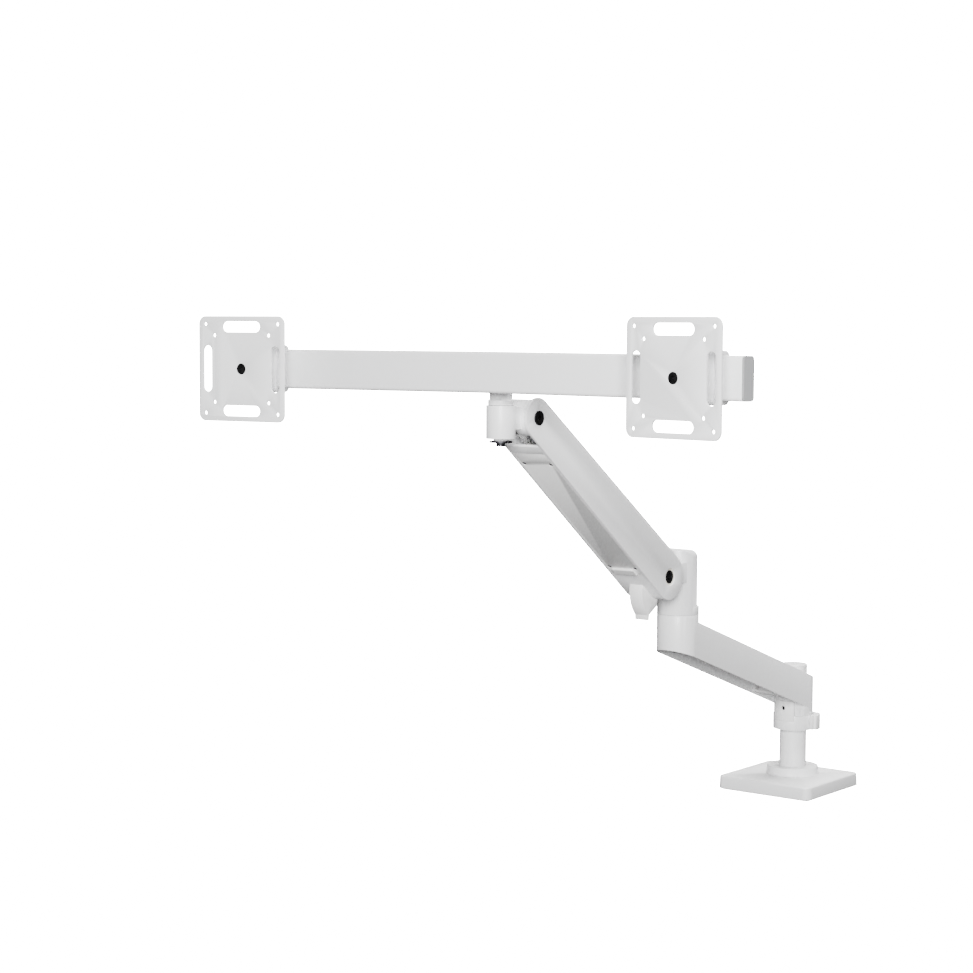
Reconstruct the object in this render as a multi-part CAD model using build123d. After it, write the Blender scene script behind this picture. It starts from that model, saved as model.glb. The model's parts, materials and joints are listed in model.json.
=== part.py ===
from build123d import *

import os
from math import cos, radians, sin, sqrt, tan

# Desk-mounted arm with a lifting upper arm and a toed-in cross bar for two screens.
# Millimetres, +Z up. The origin is on the pole's axis at the underside of the base pad.
# The arm reaches towards -Y and the cross bar runs along X.

# ---------------------------------------------------------------- driving sizes
BASE_SIDE = 137.0
BASE_SETBACK = 10.0          # pole axis behind the middle of the plate
BASE_THICK = 16.5
BASE_CORNER = 10.0
BASE_DRAFT = 3.0             # degrees
PAD_THICK = 1.5
PAD_INSET = 4.0
FLANGE_R = 33.4
FLANGE_H = 11.0
STEP_R = 34.7
STEP_H = 1.2
FLANGE_ROUND = 1.5
POLE_R = 17.5
POLE_SHOULDER_Z = 121.0      # underside of the thrust flange
SPINDLE_R = 13.0
SPINDLE_TOP_Z = 137.6
MOUNT_THREAD_R = 4.25        # M10 tapping size
MOUNT_THREAD_L = 40.0
POLE_FOOT_R = 9.0            # threaded foot through the plate and the pad

ARM_R = 25.5                 # half width of both arms, and radius of their round ends
ARM_LENGTH = 283.5           # pole axis to elbow axis
ARM_SLOPE = 19.5             # degrees
ARM_HEIGHT = 44.0            # height of the flat side
ARM_TOP_Z = 150.5            # height of the sloping top over the pole axis
ARM_WALL = 3.0
ARM_ROOF = 4.0
SKIRT_Z = 97.6               # lower end of the round boss at the pole
ELBOW_Z = 258.4              # seam between the elbow boss and the column
ELBOW_BOTTOM_Z = 218.0       # lower end of the solid hub inside the elbow boss
ELBOW_SHAFT_R = 10.0

COLLAR_R = 26.3
COLLAR_BOTTOM_Z = 78.3
COLLAR_TOP_Z = 97.3
KEY_HALF = 14.1
KEY_R = 27.4
KEY_BOTTOM_Z = 90.5
KEY_TOP_Z = 117.0
STOP_SCREW_Z = 107.5
STOP_SCREW_R = 3.0
LEVER_H = 17.0
CAP_R = 17.5
CAP_TOP_Z = 163.3

COLUMN_DISC_H = 9.0
COLUMN_TOP_Z = 337.0
COLUMN_HALF = 24.9
COLUMN_HOLLOW_R = 34.5       # round the arm's nose
CLIP_WAY_R = 41.0            # lets the cable clip swing past
PIVOT_AHEAD = 57.0           # pivot in front of the elbow axis
PIVOT_Z = 309.3
ARM_NOSE_R = 27.2            # half height of the upper arm at its pivot
UPPER_LENGTH = 330.0
UPPER_RISE = 36.5            # degrees above level at rest
UPPER_TIP_R = 22.0
UPPER_WALL = 3.0
PIVOT_R = 8.0
PIVOT_SINK = 1.4             # bush and screw lie this far below the arm's side
LINK_OFFSET = 14.0           # link and spring pins, below and above the main pivot
COVER_FROM = -46.0           # underside cover, from and to, along the arm
COVER_TO = -292.0
COVER_HALF = 21.0
COVER_SCREW_X = 18.0
COVER_T = 2.4
SPRING_LINE = 11.25          # height of the spring over the arm's middle, at rest
SPRING_FROM = -70.0
SPRING_TO = -215.0
CLIP_HALF = 9.0              # half width of the cable clip
CLIP_BAND = 2.4              # thickness of its curved band
HEAD_AHEAD = 34.0            # pan axis in front of the head pivot
HEAD_PIVOT_R = 5.0

BAR_Z_ABOVE = 50.0           # bar centre above the head pivot
BAR_AHEAD = 30.0             # bar behind the screens, in front of the pan axis
BAR_H = 44.0
BAR_D = 16.0
BAR_WALL = 2.5
BAR_HALF = 352.0
TOE_IN = 6.7                 # degrees, each half of the bar
SCREEN_X = 293.0             # plate centre from the middle, along the bar
CARRIAGE_L = 56.0
CARRIAGE_WALL = 4.0
PLATE_SIDE = 118.0
PLATE_T = 2.6
BRACKET_HALF = 26.0
BRACKET_SCREW_X = 20.0
BRACKET_SCREW_Z = 9.0
PLATE_AHEAD = 40.0           # face of the mounting plate in front of the bar's middle
HINGE_AHEAD = 24.0           # plate hinge in front of the bar's middle
HINGE_R = 8.0
KNOB_R = 16.0
TURN_HEAD_R = 6.0            # head of the bolt the plate turns on
TURN_HEAD_H = 1.1
VESA_LARGE = 100.0
VESA_SMALL = 75.0
VESA_HOLE_R = 2.25

# ---------------------------------------------------------------- clearances
SEAM = 0.4                   # visible seam between two moving pieces
RUN = 0.05                   # radial gap of a running fit
SLOT = 0.1                   # gap round a piece seated in its own body
GAP = 0.6                    # side gap between moving pieces

# ---------------------------------------------------------------- derived places
PLATE_TOP = PAD_THICK + BASE_THICK
ELBOW_Y = -ARM_LENGTH
PIVOT_Y = ELBOW_Y - PIVOT_AHEAD
SLOPE = tan(radians(ARM_SLOPE))
HEAD_Y = PIVOT_Y - UPPER_LENGTH * cos(radians(UPPER_RISE))
HEAD_Z = PIVOT_Z + UPPER_LENGTH * sin(radians(UPPER_RISE))
PAN_Y = HEAD_Y - HEAD_AHEAD
BAR_Y = PAN_Y - BAR_AHEAD
BAR_Z = HEAD_Z + BAR_Z_ABOVE
INNER_HALF = ARM_R - UPPER_WALL


# ---------------------------------------------------------------- helpers
def rod(radius, length, at, along=(0, 0, 1)):
    """Cylinder whose first end is centred on a point, running along a direction."""
    plane = Plane(origin=at, z_dir=along)
    return plane * extrude(Circle(radius), length)


def tube(outer, inner, length, at, along=(0, 0, 1)):
    """Round tube from a point along a direction."""
    plane = Plane(origin=at, z_dir=along)
    return plane * extrude(Circle(outer) - Circle(inner), length)


def block(x, y, z):
    """Box between three pairs of limits."""
    size = (x[1] - x[0], y[1] - y[0], z[1] - z[0])
    middle = ((x[0] + x[1]) / 2, (y[0] + y[1]) / 2, (z[0] + z[1]) / 2)
    return Pos(*middle) * Box(*size)


def side_profile(points, half):
    """Outline given as (y, z) points, thickened by half each way along X."""
    face = make_face(Polyline(*[(0, y, z) for y, z in points], close=True))
    return extrude(face, half, dir=(1, 0, 0), both=True)


def arc_sector(outer, inner, start, span, z0, z1):
    """Part of a ring between two heights, from a start angle through a span."""
    ring = tube(outer, inner, z1 - z0, (0, 0, z0))
    reach = outer * 3
    steps = max(2, int(abs(span) // 60) + 2)
    angles = [start + span * i / (steps - 1) for i in range(steps)]
    rim = [(reach * cos(radians(a)), reach * sin(radians(a))) for a in angles]
    wedge = extrude(make_face(Polyline((0, 0), *rim, close=True)), z1 - z0)
    return ring & Pos(0, 0, z0) * wedge


def screw(radius, head_r, head_h, length, at, along, socket=True):
    """Socket screw; its head's top is at the point and the shank runs along the direction."""
    body = rod(head_r, head_h, at, along) + rod(radius, length, at, along)
    if socket:
        hex_plane = Plane(origin=at, z_dir=along)
        body -= hex_plane * extrude(RegularPolygon(head_r * 0.5, 6), head_h * 0.6)
    return body


def write(name, shape):
    """Write one named sub-part; several solids in one node stay separate."""
    solids = shape.solids()
    result = solids[0] if len(solids) == 1 else Compound(children=list(solids))
    export_step(result, f"parts/{name}.step")


# ---------------------------------------------------------------- base and pole
def base_pad():
    side = BASE_SIDE - 2 * PAD_INSET
    pad = extrude(RectangleRounded(side, side, BASE_CORNER - PAD_INSET), PAD_THICK)
    pad = Pos(0, -BASE_SETBACK, 0) * pad
    return pad - rod(POLE_FOOT_R + SLOT, PAD_THICK, (0, 0, 0))


def base_plate():
    outline = RectangleRounded(BASE_SIDE, BASE_SIDE, BASE_CORNER)
    plate = extrude(outline, BASE_THICK, taper=BASE_DRAFT)
    plate = fillet(plate.faces().sort_by(Axis.Z)[-1].edges(), 2.0)
    plate = Pos(0, -BASE_SETBACK, PAD_THICK) * plate
    plate -= rod(POLE_FOOT_R, BASE_THICK, (0, 0, PAD_THICK))
    for x, y in base_screw_places():
        plate -= rod(3.2, BASE_THICK, (x, y, PAD_THICK))
        plate -= rod(5.6, 6.6, (x, y, PAD_THICK))
    return plate


def base_screw_places():
    reach = (POLE_R + FLANGE_R) / 2
    return [(reach * cos(radians(a)), reach * sin(radians(a))) for a in (45, 135, 225, 315)]


def base_screws():
    screws = []
    for x, y in base_screw_places():
        screws.append(screw(3.0, 5.2, 6.0, BASE_THICK + 4, (x, y, PAD_THICK + 0.4), (0, 0, 1)))
    return Compound(children=screws)


def pole_flange():
    flange = rod(FLANGE_R, FLANGE_H, (0, 0, PLATE_TOP))
    flange = fillet(flange.edges().sort_by(Axis.Z)[-1], FLANGE_ROUND)
    flange += rod(STEP_R, STEP_H, (0, 0, PLATE_TOP))
    flange -= rod(POLE_R, FLANGE_H, (0, 0, PLATE_TOP))
    for x, y in base_screw_places():
        flange -= rod(3.2, 5.0, (x, y, PLATE_TOP))
    return flange


def pole():
    body = rod(POLE_R, POLE_SHOULDER_Z - PLATE_TOP, (0, 0, PLATE_TOP))
    body += rod(SPINDLE_R, SPINDLE_TOP_Z - POLE_SHOULDER_Z, (0, 0, POLE_SHOULDER_Z))
    body += rod(POLE_FOOT_R, PLATE_TOP, (0, 0, 0))
    body -= rod(MOUNT_THREAD_R, MOUNT_THREAD_L, (0, 0, 0))
    body -= rod(4.0, 18.0, (0, 0, SPINDLE_TOP_Z - 18))
    groove_r = POLE_R - 3.2
    half = STOP_SCREW_R + 0.5
    # the groove spans half a turn plus the screw's own width
    groove = arc_sector(POLE_R + 1, groove_r, 167, 206, STOP_SCREW_Z - half, STOP_SCREW_Z + half)
    return body - groove


def spindle_washer():
    return tube(15.6, 4.2, 2.0, (0, 0, SPINDLE_TOP_Z))


def spindle_bolt():
    top = SPINDLE_TOP_Z + 2 + 6
    return screw(4.0, 6.5, 6.0, 22.0, (0, 0, top), (0, 0, -1))


# ---------------------------------------------------------------- lower arm
def lower_arm_blank(half, lift_low, drop_top, end_r):
    """Sloping stadium bar; lift_low raises the underside and drop_top lowers the roof."""
    plan = extrude(SlotCenterToCenter(ARM_LENGTH, 2 * end_r, rotation=90), 320.0)
    plan = Pos(0, -ARM_LENGTH / 2, 0) * plan
    far = -ARM_LENGTH - 60
    near = 60
    low = ARM_TOP_Z - ARM_HEIGHT + lift_low
    high = ARM_TOP_Z - drop_top
    outline = [
        (near, low - SLOPE * near),
        (near, high - SLOPE * near),
        (far, high - SLOPE * far),
        (far, low - SLOPE * far),
    ]
    return plan & side_profile(outline, half)


def lower_arm_shell():
    arm = lower_arm_blank(ARM_R + 1, 0, 0, ARM_R)
    low_at_elbow = ARM_TOP_Z - ARM_HEIGHT - SLOPE * (ELBOW_Y + ARM_R)
    arm += rod(ARM_R, ELBOW_Z - SEAM - low_at_elbow - 20, (0, ELBOW_Y, low_at_elbow + 20))
    channel = lower_arm_blank(ARM_R, -60, ARM_ROOF, ARM_R - ARM_WALL)
    arm -= channel & block((-60, 60), (ELBOW_Y - 60, 60), (0, ELBOW_Z - 12))
    hub_top = ARM_TOP_Z - ARM_ROOF
    arm += rod(ARM_R, hub_top + 2 - SKIRT_Z, (0, 0, SKIRT_Z)) & lower_arm_blank(60, -80, 1, ARM_R)
    arm += rod(ELBOW_SHAFT_R + 8, ELBOW_Z - SEAM - ELBOW_BOTTOM_Z, (0, ELBOW_Y, ELBOW_BOTTOM_Z))
    arm -= rod(POLE_R + 2.5, POLE_SHOULDER_Z + 3.2 - SKIRT_Z, (0, 0, SKIRT_Z))
    arm -= rod(SPINDLE_R + 3, 60, (0, 0, SKIRT_Z))
    arm -= rod(CAP_R - 1.5, 60, (0, 0, SPINDLE_TOP_Z - 1))
    arm -= rod(CAP_R, 60, (0, 0, ARM_TOP_Z - 8))
    arm -= block((-KEY_HALF - SLOT, KEY_HALF + SLOT), (-40, 0), (SKIRT_Z - 1, KEY_TOP_Z + SLOT))
    relief = arc_sector(ARM_R + 1, ARM_R - 0.9, -90 - 58, 116, SKIRT_Z - 1, 106)
    arm -= relief
    arm -= rod(ELBOW_SHAFT_R + 3, 80, (0, ELBOW_Y, ELBOW_BOTTOM_Z - 5))
    arm -= block((-40, 40), (ELBOW_Y - 60, ELBOW_Y + 30), (ELBOW_Z - SEAM, ELBOW_Z + 60))
    for x, y in collar_screw_places():
        arm -= rod(1.6, 12, (x, y, SKIRT_Z))
    return arm + channel_webs()


def channel_webs():
    """Crossed stiffening ribs in the roof of the open channel."""
    depth = 9.0
    webs = None
    for middle in (-90, -140, -190):
        for turn in (-38, 38):
            z = ARM_TOP_Z - SLOPE * middle - ARM_ROOF - depth / 2 + 1
            rib = Pos(0, middle, z) * Rot(-ARM_SLOPE, 0, turn) * Box(58, 2.4, depth + 2)
            webs = rib if webs is None else webs + rib
    return webs & lower_arm_blank(ARM_R, 8, 1, ARM_R - 1)


def pole_bush_lower():
    sleeve = tube(POLE_R + 2.5, POLE_R + RUN, POLE_SHOULDER_Z - SKIRT_Z - 1, (0, 0, SKIRT_Z + 0.5))
    window = block((-KEY_HALF - SLOT, KEY_HALF + SLOT), (-40, 0), (SKIRT_Z, KEY_TOP_Z + SLOT))
    return sleeve - window


def pole_thrust_bush():
    flange = tube(POLE_R + 2.0, SPINDLE_R + RUN, 3.0, (0, 0, POLE_SHOULDER_Z + 0.2))
    return flange + tube(SPINDLE_R + 3, SPINDLE_R + RUN, 16.0, (0, 0, POLE_SHOULDER_Z + 0.2))


def pole_cap():
    cap = rod(CAP_R - SLOT, CAP_TOP_Z - ARM_TOP_Z + 8, (0, 0, ARM_TOP_Z - 8))
    cap = fillet(cap.edges().sort_by(Axis.Z)[-1], 1.5)
    return cap - rod(CAP_R - 2.5, 16, (0, 0, ARM_TOP_Z - 8))


def collar_ring():
    ring = tube(COLLAR_R, POLE_R + 0.4, COLLAR_TOP_Z - COLLAR_BOTTOM_Z, (0, 0, COLLAR_BOTTOM_Z))
    ring -= block((-KEY_HALF - SLOT, KEY_HALF + SLOT), (-40, 0), (KEY_BOTTOM_Z - SLOT, COLLAR_TOP_Z + 1))
    ring -= Rot(0, 0, 100) * block((0, 40), (-0.7, 0.7), (0, 200))
    lug = Rot(0, 0, 78) * block((20, 34), (-6, 6), (COLLAR_BOTTOM_Z + 2, COLLAR_TOP_Z - 2))
    lug -= rod(POLE_R + 3, 60, (0, 0, 60))
    ring += lug
    x, y = lever_pin_place()
    slot_z = (COLLAR_BOTTOM_Z + 6, COLLAR_TOP_Z - 6)
    ring -= rod(8.2, slot_z[1] - slot_z[0], (x, y, slot_z[0]))
    ring -= rod(2.0, 60, (x, y, 60))
    for sx, sy in collar_screw_places():
        ring -= rod(1.6, 60, (sx, sy, 60))
        ring -= rod(2.9, 3.4, (sx, sy, COLLAR_BOTTOM_Z))
    return ring


def lever_pin_place():
    reach = COLLAR_R + 3.4
    return reach * cos(radians(78)), reach * sin(radians(78))


def collar_screw_places():
    reach = (POLE_R + 0.4 + COLLAR_R) / 2 + 0.4
    return [(reach * cos(radians(a)), reach * sin(radians(a))) for a in (40, 140)]


def collar_screws():
    screws = []
    for x, y in collar_screw_places():
        screws.append(screw(1.5, 2.7, 3.0, 27.0, (x, y, COLLAR_BOTTOM_Z + 0.3), (0, 0, 1)))
    return Compound(children=screws)


def stop_block():
    body = rod(KEY_R, KEY_TOP_Z - KEY_BOTTOM_Z, (0, 0, KEY_BOTTOM_Z))
    body -= rod(POLE_R + 0.6, 60, (0, 0, 80))
    body &= block((-KEY_HALF, KEY_HALF), (-40, 0), (60, 140))
    return body - rod(STOP_SCREW_R, 40, (0, 0, STOP_SCREW_Z), (0, -1, 0))


def stop_screw():
    tip = POLE_R - 2.6
    body = rod(STOP_SCREW_R - 0.02, KEY_R - 3.4 - tip, (0, -tip, STOP_SCREW_Z), (0, -1, 0))
    socket = Plane(origin=(0, -KEY_R + 3.4, STOP_SCREW_Z), z_dir=(0, 1, 0))
    return body - socket * extrude(RegularPolygon(1.6, 6), 3.0)


def clamp_lever():
    """Cam lever: its grip follows the collar and its eye turns on the pin."""
    low = COLLAR_BOTTOM_Z + 0.6
    high = low + LEVER_H + 1.6
    grip = arc_sector(COLLAR_R + 5.2, COLLAR_R + 1.2, -8, 70, low, high)
    wing = Pos(6.2, 2.4, 0) * arc_sector(COLLAR_R + 2.4, COLLAR_R - 3.2, -6, 62, low, high)
    grip = (grip + wing) - rod(COLLAR_R + 0.9, 60, (0, 0, 60))
    x, y = lever_pin_place()
    eye_low = COLLAR_BOTTOM_Z + 6 + 0.3
    eye_high = COLLAR_TOP_Z - 6 - 0.3
    eye = rod(5.0, eye_high - eye_low, (x, y, eye_low))
    neck = arc_sector(COLLAR_R + 5.2, COLLAR_R + 0.9, 55, 23, eye_low, eye_high)
    lever = grip + neck + eye
    return lever - rod(2.0 + RUN, 60, (x, y, 60))


def lever_pin():
    x, y = lever_pin_place()
    return rod(2.0, COLLAR_TOP_Z - COLLAR_BOTTOM_Z - 5, (x, y, COLLAR_BOTTOM_Z + 2.5))


def elbow_bush_upper():
    sleeve = tube(ELBOW_SHAFT_R + 3, ELBOW_SHAFT_R + RUN, 16, (0, ELBOW_Y, ELBOW_Z - SEAM - 16))
    return sleeve


def elbow_bush_lower():
    return tube(ELBOW_SHAFT_R + 3, ELBOW_SHAFT_R + RUN, 14, (0, ELBOW_Y, ELBOW_BOTTOM_Z))


def channel_clip():
    """Cable keeper across the channel near the pole, with its snap ends."""
    y = -60
    z = ARM_TOP_Z - ARM_HEIGHT - SLOPE * y + 4
    bar = Pos(0, y, z) * Rot(-ARM_SLOPE, 0, 0) * Box(2 * (ARM_R - ARM_WALL), 10, 2.4)
    for side in (-1, 1):
        foot = Pos(side * (ARM_R - ARM_WALL - 1.2), y, z + 5) * Rot(-ARM_SLOPE, 0, 0) * Box(2.4, 10, 12)
        bar += foot
    return bar


# ---------------------------------------------------------------- elbow column
def elbow_column():
    """Round foot, flat-sided riser hollowed round the arm's nose, and a tongue to the pivot."""
    disc = rod(ARM_R, COLUMN_DISC_H, (0, ELBOW_Y, ELBOW_Z))
    base_z = ELBOW_Z + COLUMN_DISC_H - 2
    back = ELBOW_Y + 9
    body = block((-COLUMN_HALF, COLUMN_HALF), (ELBOW_Y - ARM_R, back), (base_z, COLUMN_TOP_Z))
    body = fillet(body.edges().filter_by(Axis.Z).sort_by(Axis.Y)[-2:], 7.0)
    body = fillet(body.faces().sort_by(Axis.Z)[-1].edges().sort_by(Axis.Y)[-1], 9.0)
    body &= rod(ARM_R, COLUMN_TOP_Z, (0, ELBOW_Y, 0))
    body -= rod(COLUMN_HOLLOW_R, 80, (-40, PIVOT_Y, PIVOT_Z), (1, 0, 0))
    tongue_half = INNER_HALF - 2 * GAP
    tongue = block((-tongue_half, tongue_half), (PIVOT_Y, ELBOW_Y - 12), (PIVOT_Z - 11, PIVOT_Z + 13))
    nose = rod(22.5, 2 * tongue_half, (-tongue_half, PIVOT_Y, PIVOT_Z), (1, 0, 0))
    clip_way = rod(CLIP_WAY_R, 2 * CLIP_HALF + 4, (-CLIP_HALF - 2, PIVOT_Y, PIVOT_Z), (1, 0, 0))
    clip_way &= block((-40, 40), (PIVOT_Y, 0), (0, PIVOT_Z - 11))
    column = disc + body + tongue + nose - clip_way
    column -= block((-5.5, 5.5), (PIVOT_Y - 30, PIVOT_Y + 17), (PIVOT_Z - 30, PIVOT_Z + 30))
    column -= rod(PIVOT_R, 80, (-40, PIVOT_Y, PIVOT_Z), (1, 0, 0))
    for offset in (-LINK_OFFSET, LINK_OFFSET):
        column -= rod(3.0, 26, (-13, PIVOT_Y, PIVOT_Z + offset), (1, 0, 0))
    return column - rod(ELBOW_SHAFT_R, 30, (0, ELBOW_Y, ELBOW_Z))


def elbow_shaft():
    shaft = rod(ELBOW_SHAFT_R, ELBOW_Z + 30 - ELBOW_BOTTOM_Z, (0, ELBOW_Y, ELBOW_BOTTOM_Z))
    return shaft - rod(4.0, 20, (0, ELBOW_Y, ELBOW_BOTTOM_Z))


def elbow_washer():
    return tube(15.0, 4.2, 2.0, (0, ELBOW_Y, ELBOW_BOTTOM_Z - 2.0))


def elbow_bolt():
    return screw(4.0, 6.5, 5.0, 24.0, (0, ELBOW_Y, ELBOW_BOTTOM_Z - 7.0), (0, 0, 1))


def pivot_bushes():
    bushes = []
    for side in (-1, 1):
        at = (side * (ARM_R - PIVOT_SINK), PIVOT_Y, PIVOT_Z)
        length = UPPER_WALL - PIVOT_SINK - 0.2
        bushes.append(tube(PIVOT_R + 2.5, PIVOT_R + RUN, length, at, (-side, 0, 0)))
    return Compound(children=bushes)


def pivot_screws():
    """Shoulder screws that carry the upper arm, one from each side."""
    screws = []
    for side in (-1, 1):
        at = (side * (ARM_R - PIVOT_SINK + 0.2), PIVOT_Y, PIVOT_Z)
        pin = rod(PIVOT_R, ARM_R - 8.0, at, (-side, 0, 0))
        socket = Plane(origin=at, z_dir=(-side, 0, 0))
        screws.append(pin - socket * extrude(RegularPolygon(4.6, 6), 5.0))
    return Compound(children=screws)


def column_pins():
    """Cross pins in the column's nose for the level link and the spring rod."""
    pins = []
    for offset in (-LINK_OFFSET, LINK_OFFSET):
        pins.append(rod(3.0, 26, (-13, PIVOT_Y, PIVOT_Z + offset), (1, 0, 0)))
    return Compound(children=pins)


# ---------------------------------------------------------------- upper arm
def lay_out(shape):
    """Tip a level piece, modelled from the pivot towards -Y, up to its rest angle."""
    return Pos(0, PIVOT_Y, PIVOT_Z) * Rot(-UPPER_RISE, 0, 0) * shape


def tapered_bar(nose_r, tip_r, half):
    """Round-ended bar between the two pivots, seen from the side as two joined circles."""
    nose = rod(nose_r, 2 * half, (-half, 0, 0), (1, 0, 0))
    tip = rod(tip_r, 2 * half, (-half, -UPPER_LENGTH, 0), (1, 0, 0))
    lean = (nose_r - tip_r) / UPPER_LENGTH
    rise = sqrt(1 - lean * lean)
    outline = [
        (-nose_r * lean, nose_r * rise),
        (-UPPER_LENGTH - tip_r * lean, tip_r * rise),
        (-UPPER_LENGTH - tip_r * lean, -tip_r * rise),
        (-nose_r * lean, -nose_r * rise),
    ]
    return nose + tip + side_profile(outline, half)


def upper_arm_housing():
    shell = tapered_bar(ARM_NOSE_R, UPPER_TIP_R, ARM_R)
    shell -= tapered_bar(ARM_NOSE_R - UPPER_WALL, UPPER_TIP_R - UPPER_WALL, INNER_HALF)
    shell -= block((-INNER_HALF, INNER_HALF), (-16, 60), (-18.5, 60))
    tip_cut = (-UPPER_LENGTH - 60, -UPPER_LENGTH + 24)
    shell -= block((-INNER_HALF, INNER_HALF), tip_cut, (-60, 60))
    shell -= block((-COVER_HALF, COVER_HALF), (COVER_TO, COVER_FROM), (-60, 0))
    for side in (-1, 1):
        at = (side * (ARM_R + 1), 0, 0)
        shell -= rod(PIVOT_R + 2.5, 8, at, (-side, 0, 0))
        shell -= rod(HEAD_PIVOT_R, 8, (side * (ARM_R + 1), -UPPER_LENGTH, 0), (-side, 0, 0))
    for y in cover_screw_rows():
        for side in (-1, 1):
            boss_x = sorted((side * (COVER_SCREW_X - 3), side * (INNER_HALF + 1)))
            boss = block(boss_x, (y - 4, y + 4), (cover_face(y) + COVER_T + 0.1, -8))
            boss -= rod(1.6, 40, (side * COVER_SCREW_X, y, -40))
            shell += boss & tapered_bar(ARM_NOSE_R - 1, UPPER_TIP_R - 1, ARM_R - 1)
    return lay_out(shell)


def cover_screw_rows():
    return (COVER_FROM - 14, COVER_TO + 20)


def cover_face(y):
    """Height of the underside at a distance along the level arm."""
    lean = (ARM_NOSE_R - UPPER_TIP_R) / UPPER_LENGTH
    return -(ARM_NOSE_R + y * lean)


def cover_blank(depth):
    """Strip of the underside between the side walls."""
    outer = tapered_bar(ARM_NOSE_R, UPPER_TIP_R, COVER_HALF - SLOT)
    inner = tapered_bar(ARM_NOSE_R - depth, UPPER_TIP_R - depth, COVER_HALF)
    strip = block((-60, 60), (COVER_TO + SLOT, COVER_FROM - SLOT), (-60, 0))
    return (outer - inner) & strip


def underside_cover():
    cover = cover_blank(COVER_T)
    for y in cover_screw_rows():
        for side in (-1, 1):
            cover -= rod(1.6, 40, (side * COVER_SCREW_X, y, -40))
            cover -= rod(2.6, 40 + cover_face(y) + 1.3, (side * COVER_SCREW_X, y, -40))
    return lay_out(cover)


def cover_screws():
    screws = []
    for y in cover_screw_rows():
        for side in (-1, 1):
            at = (side * COVER_SCREW_X, y, cover_face(y) + 0.5)
            screws.append(screw(1.5, 2.5, 0.8, 8.0, at, (0, 0, 1)))
    return lay_out(Compound(children=screws))


def cover_tab():
    """Raised snap tab at the cover's near end."""
    y = COVER_FROM - 7.0
    tab = Pos(0, y, cover_face(y) - 1.3) * Box(30, 10.5, 2.4)
    return lay_out(fillet(tab.edges().filter_by(Axis.X).sort_by(Axis.Z)[:2], 0.9))


def cable_clip():
    """Hooked cable guide under the arm's nose: curved band, two cheeks and a lip."""
    front = (0, -23.8, -24.0)
    bulge = (0, -9.7, -42.6)
    heel = (0, 10.0, -50.0)
    corner = (0, 18.5, -30.6)
    root = (0, 13.0, -20.0)
    outline = ThreePointArc(front, bulge, heel) + Polyline(heel, corner, root, front)
    face = make_face(outline)
    hood = extrude(face, CLIP_HALF, dir=(1, 0, 0), both=True)
    inside = CLIP_HALF - 1.8
    inner = Pos(0, CLIP_BAND, CLIP_BAND) * hood
    inner &= block((-inside, inside), (-200, 200), (-200, 200))
    hood -= inner
    hood -= side_profile([(9.0, -46.0), (40.0, -46.0), (40.0, 10.0), (14.0, -10.0)], inside)
    lip = [(8.2, -49.6), (12.4, -54.3), (14.2, -52.8), (10.9, -47.2)]
    hood += side_profile(lip, CLIP_HALF)
    return lay_out(hood - tapered_bar(ARM_NOSE_R, UPPER_TIP_R, ARM_R))


def level_link():
    """Flat bar that keeps the head upright, below the line of the main pivots."""
    link = block((-4.5, 4.5), (-UPPER_LENGTH, 0), (-3, 3))
    for y in (0, -UPPER_LENGTH):
        link += rod(5.6, 9, (-4.5, y, 0), (1, 0, 0))
        link -= rod(3.0 + RUN, 12, (-6, y, 0), (1, 0, 0))
    return Pos(0, 0, -LINK_OFFSET) * Pos(0, PIVOT_Y, PIVOT_Z) * Rot(-UPPER_RISE, 0, 0) * link


def spring_rod():
    """Draw rod from the column's upper pin, with a slotted eye, to the spring's far end."""
    eye_y = LINK_OFFSET * sin(radians(UPPER_RISE))
    body = rod(2.5, 226, (0, -eye_y, SPRING_LINE), (0, -1, 0))
    body += block((-4, 4), (-eye_y - 8, -eye_y + 8), (SPRING_LINE - 7, SPRING_LINE + 8.4))
    slot = block((-10, 10), (-eye_y - 5.0, -eye_y + 5.0), (SPRING_LINE - 5.4, SPRING_LINE + 6.4))
    body -= slot
    body += rod(6.5, 4, (0, SPRING_TO - 0.2, SPRING_LINE), (0, -1, 0))
    return lay_out(body)


def spring():
    length = SPRING_FROM - SPRING_TO
    return lay_out(tube(6.5, 4.2, length, (0, SPRING_FROM, SPRING_LINE), (0, -1, 0)))


def spring_seat():
    """Cross wall in the housing that the spring pushes against."""
    wall = block((-INNER_HALF, INNER_HALF), (SPRING_FROM + 0.2, SPRING_FROM + 5), (2, SPRING_LINE + 8))
    wall -= rod(3.6, 20, (0, SPRING_FROM + 10, SPRING_LINE), (0, -1, 0))
    return lay_out(wall)


# ---------------------------------------------------------------- head
def head_knuckle():
    half = INNER_HALF - 2 * GAP
    hub = rod(19.8, 2 * half, (-half, HEAD_Y, HEAD_Z), (1, 0, 0))
    bridge = block((-15, 15), (PAN_Y, HEAD_Y), (HEAD_Z - 12, HEAD_Z + 13))
    boss = rod(16.0, 36, (0, PAN_Y, HEAD_Z - 22))
    knuckle = hub + bridge + boss
    knuckle -= block((-5.5, 5.5), (HEAD_Y - 14, HEAD_Y + 30), (HEAD_Z - 30, HEAD_Z - 4))
    knuckle -= block((-8, 8), (HEAD_Y + 9, HEAD_Y + 30), (HEAD_Z - 4, HEAD_Z + 30))
    knuckle -= rod(HEAD_PIVOT_R, 80, (-40, HEAD_Y, HEAD_Z), (1, 0, 0)) - block((-8, 8), (-900, 0), (0, 900))
    knuckle -= rod(3.0, 26, (-13, HEAD_Y, HEAD_Z - LINK_OFFSET), (1, 0, 0))
    return knuckle - rod(10.5, 60, (0, PAN_Y, HEAD_Z - 30))


def head_pin():
    return rod(3.0, 26, (-13, HEAD_Y, HEAD_Z - LINK_OFFSET), (1, 0, 0))


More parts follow.
